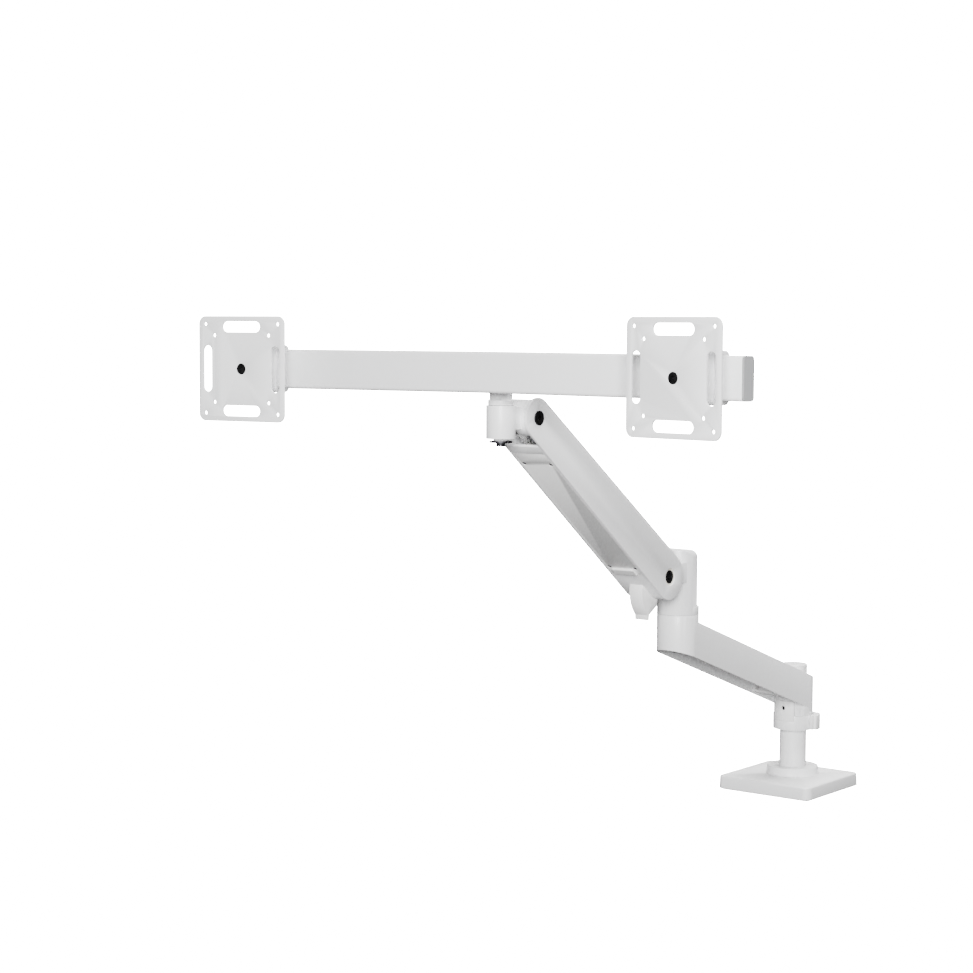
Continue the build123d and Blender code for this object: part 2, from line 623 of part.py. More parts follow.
def head_screws():
    """Shoulder screws that pin the knuckle to the upper arm; fixed in the arm's walls."""
    screws = []
    for side in (-1, 1):
        at = (side * (ARM_R + 1.6), HEAD_Y, HEAD_Z)
        pin = rod(HEAD_PIVOT_R + 3, 1.5, at, (-side, 0, 0))
        pin += rod(HEAD_PIVOT_R - RUN, 17.0, at, (-side, 0, 0))
        socket = Plane(origin=at, z_dir=(-side, 0, 0))
        screws.append(pin - socket * extrude(RegularPolygon(2.9, 6), 4.0))
    return Compound(children=screws)


def pan_bush():
    return tube(10.5, 8.0 + RUN, 35.6, (0, PAN_Y, HEAD_Z - 21.8))


def pan_hub():
    hub = rod(8.0, 48, (0, PAN_Y, HEAD_Z - 24.4))
    hub += rod(14.0, 5.6, (0, PAN_Y, HEAD_Z + 14.4))
    hub += block((-9, 9), (PAN_Y - 9, PAN_Y + 9), (HEAD_Z + 18, BAR_Z - 4))
    hub += rod(13.0, 18, (-9, PAN_Y, BAR_Z), (1, 0, 0))
    hub -= rod(4.0 + RUN, 40, (-20, PAN_Y, BAR_Z), (1, 0, 0))
    return hub - rod(3.0, 16, (0, PAN_Y, HEAD_Z - 24.4))


def pan_retainer():
    washer = tube(12.5, 3.1, 2.0, (0, PAN_Y, HEAD_Z - 26.4))
    return washer + screw(3.0, 5.0, 4.0, 16.0, (0, PAN_Y, HEAD_Z - 30.4), (0, 0, 1))


# ---------------------------------------------------------------- cross bar
def along_bar(shape, side, out=0.0):
    """Move a piece made about the bar's axis to one side of the toed-in bar."""
    turn = -side * TOE_IN
    return Pos(0, BAR_Y, BAR_Z) * Rot(0, 0, turn) * Pos(side * out, 0, 0) * shape


def bar_section(depth, height, corner, length):
    return Plane.YZ * extrude(RectangleRounded(depth, height, corner), length)


def bar_solid(depth, height, corner):
    half = bar_section(depth, height, corner, BAR_HALF + 60)
    half = Pos(-60, 0, 0) * half
    right = along_bar(half, 1) & block((0, 900), (-2000, 0), (0, 900))
    return right + mirror(right, Plane.YZ)


def cross_bar():
    bar = bar_solid(BAR_D, BAR_H, 4.0)
    bar -= bar_solid(BAR_D - 2 * BAR_WALL, BAR_H - 2 * BAR_WALL, 2.0)
    for x, z in bracket_screw_places():
        bar -= rod(2.5, 20, (x, BAR_Y, z), (0, 1, 0))
    return bar


def bracket_screw_places():
    rows = (BAR_Z - BRACKET_SCREW_Z, BAR_Z + BRACKET_SCREW_Z)
    return [(x, z) for x in (-BRACKET_SCREW_X, BRACKET_SCREW_X) for z in rows]


def bar_end_caps():
    return Compound(children=[bar_end_cap(1), bar_end_cap(-1)])


def bar_end_cap(side):
    flange = bar_section(BAR_D, BAR_H, 4.0, 2.5)
    plug = Pos(-9, 0, 0) * bar_section(BAR_D - 2 * BAR_WALL - SLOT, BAR_H - 2 * BAR_WALL - SLOT, 1.9, 9)
    cap = flange + plug
    if side < 0:
        cap = mirror(cap, Plane.YZ)
    return along_bar(cap, side, BAR_HALF)


def bar_bracket():
    back = BAR_Y + BAR_D / 2 + 5
    plate = block((-BRACKET_HALF, BRACKET_HALF), (BAR_Y, back), (BAR_Z - 16, BAR_Z + 16))
    bracket = plate - bar_solid(BAR_D, BAR_H, 4.0)
    bracket &= block((-BRACKET_HALF, BRACKET_HALF), (BAR_Y + BAR_D / 8, back), (0, 900))
    for side in (-1, 1):
        cheek_x = sorted((side * (9 + SEAM), side * 14.5))
        cheek = block(cheek_x, (back - 0.5, PAN_Y), (BAR_Z - 12, BAR_Z + 12))
        cheek += rod(12.0, 14.5 - 9 - SEAM, (cheek_x[0], PAN_Y, BAR_Z), (1, 0, 0))
        bracket += cheek
    bracket -= rod(4.0, 60, (-30, PAN_Y, BAR_Z), (1, 0, 0))
    for x, z in bracket_screw_places():
        bracket -= rod(2.5, 20, (x, BAR_Y, z), (0, 1, 0))
    return bracket


def bracket_screws():
    screws = []
    for x, z in bracket_screw_places():
        at = (x, BAR_Y + BAR_D / 2 + 5 + 2.5, z)
        screws.append(screw(2.5, 4.2, 2.5, 13.0, at, (0, -1, 0)))
    return Compound(children=screws)


def tilt_bolt():
    bolt = rod(4.0, 36, (-18, PAN_Y, BAR_Z), (1, 0, 0))
    bolt += rod(7.0, 4, (14.5, PAN_Y, BAR_Z), (1, 0, 0))
    socket = Plane(origin=(18.5, PAN_Y, BAR_Z), z_dir=(-1, 0, 0))
    return bolt - socket * extrude(RegularPolygon(2.9, 6), 3.0)


def tilt_nut():
    nut = Plane(origin=(-14.5, PAN_Y, BAR_Z), z_dir=(-1, 0, 0)) * extrude(RegularPolygon(7.5, 6), 5)
    return nut - rod(4.0, 60, (-30, PAN_Y, BAR_Z), (1, 0, 0))


# ---------------------------------------------------------------- screen carriages
def carriage(side):
    deep = BAR_D + 2 * CARRIAGE_WALL + 1.0
    tall = BAR_H + 2 * CARRIAGE_WALL + 1.0
    body = Pos(-CARRIAGE_L / 2, 0, 0) * bar_section(deep, tall, 6.0, CARRIAGE_L)
    body += rod(10.0, 8, (0, deep / 2 - 1, 0), (0, 1, 0))
    for ear in (-1, 1):
        ear_x = sorted((ear * (10 + SEAM), ear * 16))
        body += block(ear_x, (-HINGE_AHEAD, -deep / 2 + 1), (-HINGE_R, HINGE_R))
        body += rod(HINGE_R, 6 - SEAM, (ear_x[0], -HINGE_AHEAD, 0), (1, 0, 0))
    body -= Pos(-CARRIAGE_L, 0, 0) * bar_section(BAR_D + 1.0, BAR_H + 1.0, 4.4, 2 * CARRIAGE_L)
    body -= rod(4.0 + RUN, 40, (0, 0, 0), (0, 1, 0))
    body -= rod(3.0, 60, (-30, -HINGE_AHEAD, 0), (1, 0, 0))
    return along_bar(body, side, SCREEN_X)


def clamp_knob(side):
    start = BAR_D / 2 + CARRIAGE_WALL + 0.5 + 8
    knob = rod(KNOB_R, 13, (0, start, 0), (0, 1, 0))
    knob = fillet(knob.edges().sort_by(Axis.Y)[-1], 2.0)
    for i in range(8):
        turn = radians(45 * i)
        at = ((KNOB_R + 2.2) * cos(turn), start - 1, (KNOB_R + 2.2) * sin(turn))
        knob -= rod(4.2, 20, at, (0, 1, 0))
    knob += rod(4.0, start - BAR_D / 2 - 0.2, (0, BAR_D / 2 + 0.2, 0), (0, 1, 0))
    return along_bar(knob, side, SCREEN_X)


def plate_hinge(side):
    tongue = rod(HINGE_R, 20, (-10, -HINGE_AHEAD, 0), (1, 0, 0))
    tongue += block((-10, 10), (-PLATE_AHEAD + 7, -HINGE_AHEAD), (-HINGE_R, HINGE_R))
    tongue += rod(20.0, 4.0, (0, -PLATE_AHEAD + PLATE_T + SEAM + 4, 0), (0, -1, 0))
    tongue -= rod(3.0 + RUN, 60, (-30, -HINGE_AHEAD, 0), (1, 0, 0))
    tongue -= rod(3.0, 12, (0, -PLATE_AHEAD, 0), (0, 1, 0))
    return along_bar(tongue, side, SCREEN_X)


def hinge_pin(side):
    pin = rod(3.0, 34, (-17, -HINGE_AHEAD, 0), (1, 0, 0))
    pin += rod(5.5, 3, (16, -HINGE_AHEAD, 0), (1, 0, 0))
    pin += rod(5.5, 3, (-19, -HINGE_AHEAD, 0), (1, 0, 0))
    return along_bar(pin, side, SCREEN_X)


def turn_bolt(side):
    """Low-headed bolt the plate turns on, sunk in the plate's front face."""
    front = -PLATE_AHEAD + 0.1
    bolt = rod(3.0, 9.6, (0, front, 0), (0, 1, 0))
    bolt += rod(TURN_HEAD_R, TURN_HEAD_H, (0, front, 0), (0, 1, 0))
    socket = Plane(origin=(0, front, 0), z_dir=(0, 1, 0))
    return along_bar(bolt - socket * extrude(RegularPolygon(2.2, 6), 2.5), side, SCREEN_X)


def vesa_plate(side):
    outline = RectangleRounded(PLATE_SIDE, PLATE_SIDE, 9.0)
    window = Pos(0, 47.0) * SlotOverall(52, 12)
    for turn in (0, 90, 180, 270):
        outline -= Rot(0, 0, turn) * window
    for spacing in (VESA_SMALL, VESA_LARGE):
        for x in (-1, 1):
            for y in (-1, 1):
                outline -= Pos(x * spacing / 2, y * spacing / 2) * Circle(VESA_HOLE_R)
    outline -= Circle(3.0 + RUN)
    plate = extrude(outline, PLATE_T)
    sink = 0.1 + TURN_HEAD_H + 0.1
    plate -= rod(TURN_HEAD_R + 0.2, sink, (0, 0, PLATE_T - sink))
    plate = Pos(0, -PLATE_AHEAD + PLATE_T, 0) * Rot(90, 0, 0) * plate
    return along_bar(plate, side, SCREEN_X)


# ---------------------------------------------------------------- all pieces
def main():
    os.makedirs("parts", exist_ok=True)
    pieces = {
        "base_pad": base_pad, "base_plate": base_plate, "base_screws": base_screws,
        "pole_flange": pole_flange, "pole": pole, "spindle_washer": spindle_washer,
        "spindle_bolt": spindle_bolt, "lower_arm_shell": lower_arm_shell,
        "pole_bush_lower": pole_bush_lower, "pole_thrust_bush": pole_thrust_bush,
        "pole_cap": pole_cap, "collar_ring": collar_ring, "collar_screws": collar_screws,
        "stop_block": stop_block, "stop_screw": stop_screw, "clamp_lever": clamp_lever,
        "lever_pin": lever_pin, "elbow_bush_upper": elbow_bush_upper,
        "elbow_bush_lower": elbow_bush_lower, "channel_clip": channel_clip,
        "elbow_column": elbow_column, "elbow_shaft": elbow_shaft, "elbow_washer": elbow_washer,
        "elbow_bolt": elbow_bolt, "pivot_bushes": pivot_bushes, "pivot_screws": pivot_screws,
        "column_pins": column_pins, "upper_arm_housing": upper_arm_housing,
        "underside_cover": underside_cover, "cover_screws": cover_screws,
        "cover_tab": cover_tab, "cable_clip": cable_clip, "level_link": level_link,
        "spring_rod": spring_rod, "spring": spring, "spring_seat": spring_seat,
        "head_knuckle": head_knuckle, "head_pin": head_pin, "head_screws": head_screws,
        "pan_bush": pan_bush, "pan_hub": pan_hub, "pan_retainer": pan_retainer,
        "cross_bar": cross_bar, "bar_bracket": bar_bracket, "bracket_screws": bracket_screws,
        "bar_end_caps": bar_end_caps, "tilt_bolt": tilt_bolt, "tilt_nut": tilt_nut,
    }
    for name, make in pieces.items():
        write(name, make())
    pairs = {
        "carriage": carriage, "clamp_knob": clamp_knob, "plate_hinge": plate_hinge,
        "hinge_pin": hinge_pin, "turn_bolt": turn_bolt, "vesa_plate": vesa_plate,
    }
    for name, make in pairs.items():
        write(f"{name}_right", make(1))
        write(f"{name}_left", make(-1))


main()
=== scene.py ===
# %% [markdown]
# # A desk-mounted arm for two screens
# This lesson dresses a finished mechanical model: a white arm that stands on a square plate, folds at
# an elbow, lifts on a sprung upper arm and carries a toed-in cross bar with two screen plates.
# The mechanical model is the fixed frame. Its parts already have their true shape, so most of the
# work here is in softened edges and in finishes: powder coat, moulded plastic, turned steel.

# %% Load the frame
import json
import math

import bpy
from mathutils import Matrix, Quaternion, Vector


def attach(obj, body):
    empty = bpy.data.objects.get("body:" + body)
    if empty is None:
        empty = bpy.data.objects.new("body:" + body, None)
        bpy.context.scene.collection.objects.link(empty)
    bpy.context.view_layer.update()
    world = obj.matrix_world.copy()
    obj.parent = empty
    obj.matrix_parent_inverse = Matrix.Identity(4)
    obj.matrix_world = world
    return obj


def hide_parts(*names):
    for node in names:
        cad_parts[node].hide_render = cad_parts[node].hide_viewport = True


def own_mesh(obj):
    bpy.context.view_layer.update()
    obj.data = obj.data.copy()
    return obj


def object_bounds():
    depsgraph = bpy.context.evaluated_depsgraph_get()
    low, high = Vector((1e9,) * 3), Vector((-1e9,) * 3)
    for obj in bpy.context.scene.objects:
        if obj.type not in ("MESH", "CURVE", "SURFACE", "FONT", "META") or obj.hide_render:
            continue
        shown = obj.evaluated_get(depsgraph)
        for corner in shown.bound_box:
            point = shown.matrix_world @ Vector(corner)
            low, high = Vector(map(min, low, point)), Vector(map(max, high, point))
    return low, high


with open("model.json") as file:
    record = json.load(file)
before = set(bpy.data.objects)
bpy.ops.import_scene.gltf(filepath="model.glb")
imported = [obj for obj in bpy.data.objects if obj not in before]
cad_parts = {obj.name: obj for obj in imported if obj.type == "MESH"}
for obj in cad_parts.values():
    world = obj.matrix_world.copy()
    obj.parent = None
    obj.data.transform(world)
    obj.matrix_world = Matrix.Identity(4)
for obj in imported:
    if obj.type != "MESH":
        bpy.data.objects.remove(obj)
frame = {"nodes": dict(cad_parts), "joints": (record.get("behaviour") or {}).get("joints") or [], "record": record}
nodes = frame["nodes"]
record = frame["record"]
cad_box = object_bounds()
slot_of = {entry["node"]: entry["material_slot"] for entry in record["subparts"]}
body_of = {}
for body, members in record["behaviour"]["bodies"].items():
    for member in members:
        body_of[member] = body
print("nodes in the frame:", len(nodes))

# %% [markdown]
# ## Small helpers
# Every operator works on what is selected, and a freshly loaded model is selected all over. A pair of
# short helpers keeps that under control: one drops the selection, the other picks a single object.

# %% Selection helpers
MM = 0.001


def pick(piece):
    """Make one object the only selected and active one."""
    if bpy.context.object and bpy.context.object.mode != "OBJECT":
        bpy.ops.object.mode_set(mode="OBJECT")
    bpy.ops.object.select_all(action="DESELECT")
    piece.select_set(True)
    bpy.context.view_layer.objects.active = piece


def select_faces(piece, test):
    """Leave edit mode for a moment and select the faces whose centre and normal pass a test."""
    bpy.ops.object.mode_set(mode="EDIT")
    bpy.ops.mesh.select_mode(type="FACE")
    bpy.ops.mesh.select_all(action="DESELECT")
    bpy.ops.object.mode_set(mode="OBJECT")
    for face in piece.data.polygons:
        face.select = test(face.center, face.normal)
    bpy.ops.object.mode_set(mode="EDIT")


def settle(piece):
    """Bake an object's place, turn and scale into its mesh, so that it sits at the origin."""
    pick(piece)
    bpy.ops.object.transform_apply(location=True, rotation=True, scale=True)


def apply_modifiers(piece):
    pick(piece)
    for modifier in list(piece.modifiers):
        bpy.ops.object.modifier_apply(modifier=modifier.name)


def joint(name):
    """The joint's entry in the record: its place and its axis."""
    return next(entry for entry in frame["joints"] if entry["name"] == name)


# %% [markdown]
# ## Shared surface effects
# Four effects turn up in more than one finish, so each is a node group with named inputs, built once.
# *Orange peel* is the fine waviness of powder coat. *Moulded grain* is the spark-eroded texture of
# plastic covers. *Turned lines* are the rings that a lathe leaves on steel. *Settled dust* darkens and
# dulls faces that look upwards, unevenly, as on any desk.

# %% Node group helper
def start_group(name, inputs, outputs):
    """An empty node group with float inputs (with defaults) and outputs of the given kinds."""
    group = bpy.data.node_groups.new(name, "ShaderNodeTree")
    for label, value in inputs:
        socket = group.interface.new_socket(name=label, in_out="INPUT", socket_type="NodeSocketFloat")
        socket.default_value = value
    for label, kind in outputs:
        group.interface.new_socket(name=label, in_out="OUTPUT", socket_type=kind)
    entry = group.nodes.new("NodeGroupInput")
    leave = group.nodes.new("NodeGroupOutput")
    entry.location = (-900, 0)
    leave.location = (600, 0)
    return group, entry, leave


def add_node(tree, kind, place, **settings):
    node = tree.nodes.new(kind)
    node.location = place
    for key, value in settings.items():
        setattr(node, key, value)
    return node


FLOAT = "NodeSocketFloat"


# %% Orange peel
def build_orange_peel():
    group, entry, leave = start_group(
        "orange peel", [("Grain per metre", 900.0), ("Patch per metre", 14.0)],
        [("Height", FLOAT), ("Sheen patches", FLOAT)])
    links = group.links
    where = add_node(group, "ShaderNodeTexCoord", (-900, -250))
    peel = add_node(group, "ShaderNodeTexNoise", (-500, 120))
    peel.inputs["Detail"].default_value = 2.0
    speck = add_node(group, "ShaderNodeTexVoronoi", (-500, -120))
    patch = add_node(group, "ShaderNodeTexNoise", (-500, -380))
    patch.inputs["Detail"].default_value = 4.0
    double = add_node(group, "ShaderNodeMath", (-700, -60), operation="MULTIPLY")
    double.inputs[1].default_value = 2.2
    blend = add_node(group, "ShaderNodeMath", (-150, 60), operation="MULTIPLY_ADD")
    blend.inputs[1].default_value = 0.35
    for node in (peel, speck, patch):
        links.new(where.outputs["Object"], node.inputs["Vector"])
    links.new(entry.outputs["Grain per metre"], peel.inputs["Scale"])
    links.new(entry.outputs["Grain per metre"], double.inputs[0])
    links.new(double.outputs[0], speck.inputs["Scale"])
    links.new(entry.outputs["Patch per metre"], patch.inputs["Scale"])
    links.new(speck.outputs["Distance"], blend.inputs[0])
    links.new(peel.outputs["Fac"], blend.inputs[2])
    links.new(blend.outputs[0], leave.inputs["Height"])
    links.new(patch.outputs["Fac"], leave.inputs["Sheen patches"])
    return group


orange_peel = build_orange_peel()
print("built group:", orange_peel.name)


# %% Moulded grain
def build_moulded_grain():
    group, entry, leave = start_group(
        "moulded grain", [("Grain per metre", 1600.0)], [("Height", FLOAT), ("Pits", FLOAT)])
    links = group.links
    where = add_node(group, "ShaderNodeTexCoord", (-900, -250))
    cells = add_node(group, "ShaderNodeTexVoronoi", (-500, 100))
    cells.feature = "SMOOTH_F1"
    haze = add_node(group, "ShaderNodeTexNoise", (-500, -200))
    haze.inputs["Detail"].default_value = 3.0
    total = add_node(group, "ShaderNodeMath", (-150, 0), operation="ADD")
    for node in (cells, haze):
        links.new(where.outputs["Object"], node.inputs["Vector"])
        links.new(entry.outputs["Grain per metre"], node.inputs["Scale"])
    links.new(cells.outputs["Distance"], total.inputs[0])
    links.new(haze.outputs["Fac"], total.inputs[1])
    links.new(total.outputs[0], leave.inputs["Height"])
    links.new(haze.outputs["Fac"], leave.inputs["Pits"])
    return group


moulded_grain = build_moulded_grain()
print("built group:", moulded_grain.name)


# %% Turned lines
def build_turned_lines():
    group, entry, leave = start_group(
        "turned lines", [("Lines per metre", 900.0), ("Unevenness", 2.0)],
        [("Height", FLOAT), ("Streaks", FLOAT)])
    links = group.links
    where = add_node(group, "ShaderNodeTexCoord", (-900, -250))
    rings = add_node(group, "ShaderNodeTexWave", (-450, 100))
    rings.wave_type = "BANDS"
    rings.bands_direction = "DIAGONAL"
    rings.inputs["Detail"].default_value = 3.0
    streak = add_node(group, "ShaderNodeTexNoise", (-450, -250))
    streak.inputs["Detail"].default_value = 5.0
    links.new(where.outputs["Object"], rings.inputs["Vector"])
    links.new(where.outputs["Object"], streak.inputs["Vector"])
    links.new(entry.outputs["Lines per metre"], rings.inputs["Scale"])
    links.new(entry.outputs["Unevenness"], rings.inputs["Distortion"])
    streak.inputs["Scale"].default_value = 160.0
    links.new(rings.outputs["Fac"], leave.inputs["Height"])
    links.new(streak.outputs["Fac"], leave.inputs["Streaks"])
    return group


turned_lines = build_turned_lines()
print("built group:", turned_lines.name)


# %% Settled dust
def build_settled_dust():
    group, entry, leave = start_group(
        "settled dust", [("Amount", 0.2), ("Patch per metre", 40.0)], [("Mask", FLOAT)])
    links = group.links
    facing = add_node(group, "ShaderNodeNewGeometry", (-900, 200))
    split = add_node(group, "ShaderNodeSeparateXYZ", (-700, 200))
    upward = add_node(group, "ShaderNodeMapRange", (-500, 200))
    upward.inputs["From Min"].default_value = 0.55
    upward.inputs["From Max"].default_value = 1.0
    where = add_node(group, "ShaderNodeTexCoord", (-900, -250))
    cloud = add_node(group, "ShaderNodeTexNoise", (-500, -200))
    cloud.inputs["Detail"].default_value = 6.0
    mix = add_node(group, "ShaderNodeMath", (-250, 60), operation="MULTIPLY")
    scale = add_node(group, "ShaderNodeMath", (0, 60), operation="MULTIPLY")
    links.new(facing.outputs["Normal"], split.inputs[0])
    links.new(split.outputs["Z"], upward.inputs["Value"])
    links.new(where.outputs["Object"], cloud.inputs["Vector"])
    links.new(entry.outputs["Patch per metre"], cloud.inputs["Scale"])
    links.new(upward.outputs["Result"], mix.inputs[0])
    links.new(cloud.outputs["Fac"], mix.inputs[1])
    links.new(mix.outputs[0], scale.inputs[0])
    links.new(entry.outputs["Amount"], scale.inputs[1])
    links.new(scale.outputs[0], leave.inputs["Mask"])
    return group


settled_dust = build_settled_dust()
print("built group:", settled_dust.name)

# %% [markdown]
# ## Finishes
# Each finish starts from one Principled shader. Plain values such as metalness or coat are typed into
# the shader itself. Only what changes over the surface comes from the groups: a bump for the grain,
# a drift in roughness, and a slight drift in colour, because no painted part is one flat colour.

# %% Material helper
def start_material(name, roughness, metallic=0.0, coat=0.0, specular=0.5):
    material = bpy.data.materials.new(name)
    material.use_nodes = True
    tree = material.node_tree
    shader = tree.nodes["Principled BSDF"]
    shader.inputs["Roughness"].default_value = roughness
    shader.inputs["Metallic"].default_value = metallic
    shader.inputs["Coat Weight"].default_value = coat
    shader.inputs["Specular IOR Level"].default_value = specular
    return material, tree, shader


def place_group(tree, group, place, **values):
    node = tree.nodes.new("ShaderNodeGroup")
    node.node_tree = group
    node.location = place
    for label, value in values.items():
        node.inputs[label.replace("_", " ")].default_value = value
    return node


def drift(tree, source, low, high, target, place):
    """Send a 0 to 1 pattern to a socket as a value between two limits."""
    ramp = add_node(tree, "ShaderNodeMapRange", place)
    ramp.inputs["From Min"].default_value = 0.3
    ramp.inputs["From Max"].default_value = 0.7
    ramp.inputs["To Min"].default_value = low
    ramp.inputs["To Max"].default_value = high
    tree.links.new(source, ramp.inputs["Value"])
    tree.links.new(ramp.outputs["Result"], target)


def two_tone(tree, source, first, second, target, place):
    """Blend two colours by a pattern and send the result to a colour socket."""
    mix = add_node(tree, "ShaderNodeMix", place, data_type="RGBA")
    mix.inputs["A"].default_value = (*first, 1.0)
    mix.inputs["B"].default_value = (*second, 1.0)
    tree.links.new(source, mix.inputs["Factor"])
    tree.links.new(mix.outputs["Result"], target)
    return mix


def bump(tree, shader, source, strength, distance, place=(-300, -350)):
    node = add_node(tree, "ShaderNodeBump", place)
    node.inputs["Strength"].default_value = strength
    node.inputs["Distance"].default_value = distance
    tree.links.new(source, node.inputs["Height"])
    tree.links.new(node.outputs["Normal"], shader.inputs["Normal"])


# %% Powder coat
def powder_coat(name, tint, shade):
    material, tree, shader = start_material(name, 0.42, coat=0.12)
    peel = place_group(tree, orange_peel, (-800, -200), Grain_per_metre=1100.0)
    dust = place_group(tree, settled_dust, (-800, 200), Amount=0.22)
    base = add_node(tree, "ShaderNodeMix", (-300, 200), data_type="RGBA")
    base.inputs["B"].default_value = (0.66, 0.65, 0.62, 1.0)
    tree.links.new(dust.outputs["Mask"], base.inputs["Factor"])
    two_tone(tree, peel.outputs["Sheen patches"], shade, tint, base.inputs["A"], (-550, 200))
    tree.links.new(base.outputs["Result"], shader.inputs["Base Color"])
    drift(tree, peel.outputs["Sheen patches"], 0.34, 0.47, shader.inputs["Roughness"], (-550, -100))
    bump(tree, shader, peel.outputs["Height"], 0.22, 0.00012)
    return material


white_coat = powder_coat("white powder coat", (0.83, 0.835, 0.84), (0.79, 0.795, 0.80))
print("finish:", white_coat.name)


# %% Moulded plastics
def moulded_plastic(name, tint, shade, roughness, grain):
    material, tree, shader = start_material(name, roughness)
    texture = place_group(tree, moulded_grain, (-800, -200), Grain_per_metre=grain)
    dust = place_group(tree, settled_dust, (-800, 200), Amount=0.25)
    base = add_node(tree, "ShaderNodeMix", (-300, 200), data_type="RGBA")
    base.inputs["B"].default_value = (0.60, 0.59, 0.56, 1.0)
    tree.links.new(dust.outputs["Mask"], base.inputs["Factor"])
    two_tone(tree, texture.outputs["Pits"], shade, tint, base.inputs["A"], (-550, 200))
    tree.links.new(base.outputs["Result"], shader.inputs["Base Color"])
    spread = 0.06
    drift(tree, texture.outputs["Pits"], roughness - spread, roughness + spread,
          shader.inputs["Roughness"], (-550, -100))
    bump(tree, shader, texture.outputs["Height"], 0.35, 0.00008)
    return material


white_plastic = moulded_plastic(
    "white moulded plastic", (0.84, 0.84, 0.835), (0.80, 0.80, 0.795), 0.5, 1500.0)
grey_plastic = moulded_plastic("grey moulded plastic", (0.30, 0.305, 0.31), (0.25, 0.255, 0.26), 0.55, 1300.0)
nylon = moulded_plastic("natural nylon", (0.72, 0.70, 0.63), (0.66, 0.64, 0.57), 0.4, 700.0)
pad_rubber = moulded_plastic("base rubber", (0.035, 0.035, 0.036), (0.02, 0.02, 0.021), 0.8, 900.0)
print("plastics:", white_plastic.name, grey_plastic.name, nylon.name, pad_rubber.name)


# %% Metals
def turned_metal(name, tint, shade, roughness, lines):
    material, tree, shader = start_material(name, roughness, metallic=1.0)
    rings = place_group(tree, turned_lines, (-800, 0), Lines_per_metre=lines)
    two_tone(tree, rings.outputs["Streaks"], shade, tint, shader.inputs["Base Color"], (-450, 200))
    drift(tree, rings.outputs["Streaks"], roughness - 0.08, roughness + 0.1,
          shader.inputs["Roughness"], (-450, -60))
    bump(tree, shader, rings.outputs["Height"], 0.15, 0.00005)
    return material


bright_steel = turned_metal("turned steel", (0.66, 0.66, 0.65), (0.52, 0.52, 0.52), 0.28, 1400.0)
black_steel = turned_metal("black oxide steel", (0.055, 0.055, 0.06), (0.025, 0.025, 0.028), 0.42, 900.0)
spring_wire = turned_metal("spring wire", (0.42, 0.43, 0.45), (0.30, 0.31, 0.33), 0.33, 2200.0)
print("metals:", bright_steel.name, black_steel.name, spring_wire.name)

# %% Give every node its finish
finish_of = {
    "painted_white": white_coat, "coated_aluminium": white_coat,
    "plastic_white": white_plastic, "plastic_grey": grey_plastic,
    "steel": bright_steel, "dark_steel": black_steel, "nylon": nylon,
    "rubber_dark": pad_rubber, "spring_steel": spring_wire,
}


def paint(piece, material):
    piece.data.materials.clear()
    piece.data.materials.append(material)


for name, node in nodes.items():
    finish = finish_of[slot_of[name]]
    for slot_entry in node.material_slots:
        slot_entry.material = finish
print("finished nodes:", len(nodes))

# %% [markdown]
# ## Softened castings
# A cast or machined part never has a razor edge, and powder coat rounds it further. The edge of light
# along a rounded corner is what makes a white part readable against a white wall. Each visible casting
# is copied from the frame, its triangles are merged back into whole faces, and a Bevel modifier rounds
# every corner sharper than thirty degrees.

# %% Softening helper
def softened(node_name, width, segments=2, corner=32.0):
    source = nodes[node_name]
    piece = source.copy()
    piece.data = source.data.copy()
    piece.name = f"{node_name}_soft"
    piece.parent = None
    bpy.context.scene.collection.objects.link(piece)
    pick(piece)
    bpy.ops.object.mode_set(mode="EDIT")
    bpy.ops.mesh.select_all(action="SELECT")
    bpy.ops.mesh.remove_doubles(threshold=2e-6)
    bpy.ops.mesh.dissolve_limited(angle_limit=math.radians(0.6))
    bpy.ops.mesh.normals_make_consistent(inside=False)
    bpy.ops.object.mode_set(mode="OBJECT")
    rounding = piece.modifiers.new("rounding", "BEVEL")
    rounding.width = width
    rounding.segments = segments
    rounding.limit_method = "ANGLE"
    rounding.angle_limit = math.radians(corner)
    rounding.miter_outer = "MITER_ARC"
    apply_modifiers(piece)
    bpy.ops.object.shade_smooth_by_angle(angle=math.radians(corner + 8))
    paint(piece, finish_of[slot_of[node_name]])
    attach(piece, body_of[node_name])
    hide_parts(node_name)
    return piece


# %% Soften the castings
SOFT_EDGES = {
    "base_plate": 0.8 * MM, "pole_flange": 0.5 * MM, "collar_ring": 0.5 * MM, "stop_block": 0.5 * MM,
    "lower_arm_shell": 0.5 * MM, "elbow_column": 0.7 * MM, "upper_arm_housing": 0.7 * MM,
    "underside_cover": 0.4 * MM, "clamp_lever": 0.8 * MM, "pole_cap": 0.4 * MM,
    "head_knuckle": 0.7 * MM, "pan_hub": 0.5 * MM, "bar_bracket": 0.6 * MM, "cross_bar": 0.5 * MM,
    "cable_clip": 0.4 * MM, "channel_clip": 0.4 * MM,
}
for side in ("right", "left"):
    SOFT_EDGES[f"carriage_{side}"] = 0.6 * MM
    SOFT_EDGES[f"plate_hinge_{side}"] = 0.5 * MM
    SOFT_EDGES[f"vesa_plate_{side}"] = 0.35 * MM
for node_name, width in SOFT_EDGES.items():
    piece = softened(node_name, width)
    print(f"{node_name}: {len(piece.data.polygons)} faces")
